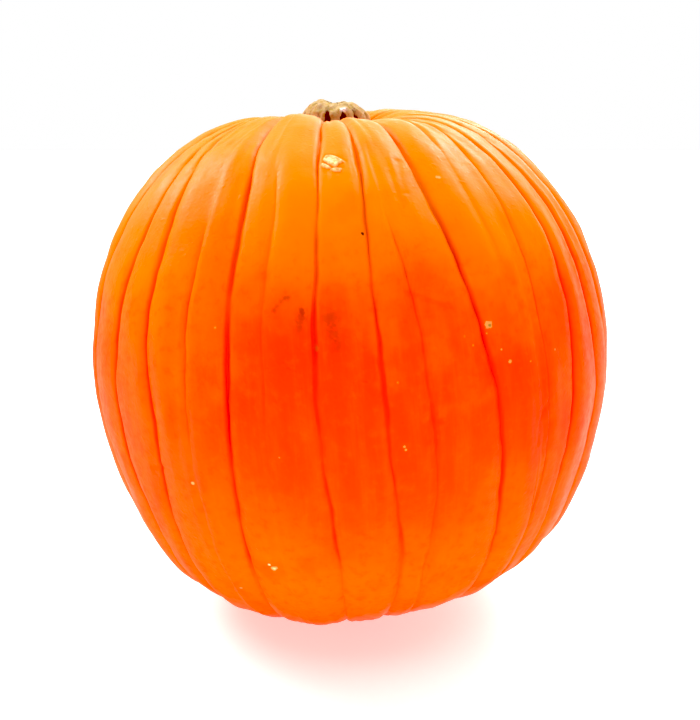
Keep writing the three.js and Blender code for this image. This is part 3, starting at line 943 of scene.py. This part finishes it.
def makeStem(shift):
    foot = stemFoot(shift)
    deselectAll()
    firstRadius, firstHeight = stem["outline"][0]
    bpy.ops.mesh.primitive_circle_add(vertices=stem["sides"], radius=firstRadius * mm, fill_type="NGON",
                                      location=(0, 0, firstHeight * mm))
    piece = bpy.context.active_object
    piece.name = "stemStub"
    bpy.ops.object.transform_apply(location=True)
    bpy.ops.object.mode_set(mode="EDIT")
    bpy.ops.mesh.select_all(action="SELECT")
    radius, height = firstRadius, firstHeight
    for nextRadius, nextHeight in stem["outline"][1:]:
        bpy.ops.mesh.extrude_region_move(TRANSFORM_OT_translate={"value": (0, 0, (nextHeight - height) * mm)})
        bpy.ops.transform.resize(value=(nextRadius / radius, nextRadius / radius, 1))
        radius, height = nextRadius, nextHeight
    bpy.ops.mesh.poke()
    bpy.ops.mesh.select_all(action="SELECT")
    bpy.ops.mesh.normals_make_consistent(inside=False)
    bpy.ops.object.mode_set(mode="OBJECT")
    addModifier(piece, "SUBSURF", levels=2, render_levels=2)

    # the corky lobes: clefts cut into the wall, and knobs and dips on the domed top
    points = readPoints(piece) / mm
    radii = np.hypot(points[:, 0], points[:, 1])
    azimuth = np.degrees(np.arctan2(points[:, 0], -points[:, 1]))
    cleft = stemCleft(azimuth)
    rim = stem["rim"]
    onTop = smoothStep(points[:, 2], rim["height"], rim["top"])
    points[:, 2] -= onTop * stem["topDepth"] * cleft * radii / rim["radius"]
    for right, back, rise, reach in stem["humps"]:
        away = np.hypot(points[:, 0] - right, points[:, 1] - back)
        points[:, 2] += onTop * rise * np.exp(-(away / reach) ** 2)
    points[:, :2] *= (1 - stem["valleyDepth"] * cleft * (1 - stem["topWallLoss"] * onTop))[:, None]
    writePoints(piece, points * mm + foot)

    before = readPoints(piece)
    normals = np.empty(len(before) * 3)
    piece.data.vertices.foreach_get("normal", normals)
    growCork(piece, stem["knuckles"], "VORONOI", weight_1=-1, weight_2=1)
    growCork(piece, stem["cork"], "VORONOI", weight_1=-1, weight_2=1)
    raised = ((readPoints(piece) - before) * normals.reshape(-1, 3)).sum(1) / mm
    growCork(piece, stem["grain"], "CLOUDS", noise_depth=3)
    # how far each point sank in, for the dents' painted shade
    setAttribute(piece, "dent", smoothStep(-raised, *stem["dentDepths"]))
    # how much painted shade each cleft gets
    setAttribute(piece, "cleft", cleft * (1 - stem["topShadeLoss"] * onTop))
    pick(piece)
    bpy.ops.object.shade_smooth()
    print("stem:", len(piece.data.polygons), "faces")
    return piece


pumpkin, fruitShift = makeFruit()
pumpkin.data.materials.append(rindMaterial(pumpkin, fruitShift))
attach(pumpkin, "root")
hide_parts("fruit")

stub = makeStem(fruitShift)
stub.data.materials.append(corkMaterial())
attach(stub, "root")
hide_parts("stem")

# The studio, in metres and degrees.
studio = {
    "floorSize": 60,
    # how bright the white backdrop is: left near the floor, left higher up, and right
    "backGlow": (2.6, 0.6, 4.4),
    "frontGlow": 0.3,  # darker room round the camera
    # where each begins and is full, as parts of the direction out of the middle, from -1 to 1
    "backSpan": (0.5, 1),
    "heightSpan": (-0.4, -0.15),
    "sideSpan": (-0.3, 0.3),
    "frontSpan": (-0.8, -0.1),
    "overheadPlace": (0, 0.5, 2.5),
    "overheadPower": 3.2,
    "overheadAngle": 100,
    "softboxes": [
        {"name": "leftSoftbox", "place": (-1.25, 0.6, 1.5), "size": 1.0, "power": 34},
        {"name": "rightSoftbox", "place": (0.8, 0.95, 1.65), "size": 0.9, "power": 30},
    ],
    "blackLevel": 0.03,  # the tone curve starts here, which keeps the oranges full
    "aim": (-0.0001, -0.001, 0.147),
    "distance": 0.525,
    "elevation": 14,
    "lens": 43.45,
}


def makeFloor():
    deselectAll()
    bpy.ops.mesh.primitive_plane_add(size=studio["floorSize"])
    floor = bpy.context.active_object
    floor.name = "floor"
    floor.data.materials.append(floorMaterial())
    floor.visible_glossy = False  # keeps the rind's lower half from going milky


def makeWorld():
    world = bpy.data.worlds.new("studio")
    bpy.context.scene.world = world
    world.use_nodes = True
    tree = world.node_tree
    tree.nodes.clear()
    direction = addNode(tree, "ShaderNodeTexCoord").outputs["Generated"]
    axes = addNode(tree, "ShaderNodeSeparateXYZ", {0: direction}).outputs
    low, high, right = studio["backGlow"]
    left = mapRange(tree, axes["Z"], *studio["heightSpan"], low, high)
    glowing = mapRange(tree, axes["X"], *studio["sideSpan"], left, right)
    back = times(tree, mapRange(tree, axes["Y"], *studio["backSpan"]), glowing)
    front = mapRange(tree, axes["Z"], *studio["frontSpan"], 0, studio["frontGlow"])
    strength = plus(tree, back, front)
    glow = addNode(tree, "ShaderNodeBackground", {"Color": srgb("#FFFFFF"), "Strength": strength})
    white = addNode(tree, "ShaderNodeBackground", {"Color": srgb("#FFFFFF"), "Strength": 1.0})
    seen = addNode(tree, "ShaderNodeLightPath").outputs["Is Camera Ray"]
    both = addNode(tree, "ShaderNodeMixShader", {0: seen, 1: glow.outputs[0], 2: white.outputs[0]})
    addNode(tree, "ShaderNodeOutputWorld", {"Surface": both.outputs[0]})


def addLight(name, kind, place, **settings):
    deselectAll()
    bpy.ops.object.light_add(type=kind, location=place)
    light = bpy.context.active_object
    light.name = name
    for key, value in settings.items():
        setattr(light.data, key, value)
    light.rotation_euler = (Vector(studio["aim"]) - light.location).to_track_quat("-Z", "Y").to_euler()
    return light


def makeLights():
    for box in studio["softboxes"]:
        addLight(box["name"], "AREA", box["place"], size=box["size"], energy=box["power"])
    angle = math.radians(studio["overheadAngle"])
    power = studio["overheadPower"]
    overhead = addLight("overhead", "SUN", studio["overheadPlace"], energy=power, angle=angle)
    overhead.visible_glossy = False


def makeCamera():
    aim = Vector(studio["aim"])
    rise = math.radians(studio["elevation"])
    back = Vector((0, -math.cos(rise), math.sin(rise)))
    bpy.ops.object.camera_add(location=aim + back * studio["distance"])
    camera = bpy.context.active_object
    camera.rotation_euler = (-back).to_track_quat("-Z", "Y").to_euler()
    camera.data.lens = studio["lens"]
    camera.data.clip_start = 0.01
    bpy.context.scene.camera = camera


makeFloor()
makeWorld()
makeLights()
makeCamera()
tone = bpy.context.scene.view_settings
tone.view_transform = "Standard"
tone.use_curve_mapping = True
tone.curve_mapping.black_level = (studio["blackLevel"],) * 3
tone.curve_mapping.update()
print("studio ready")
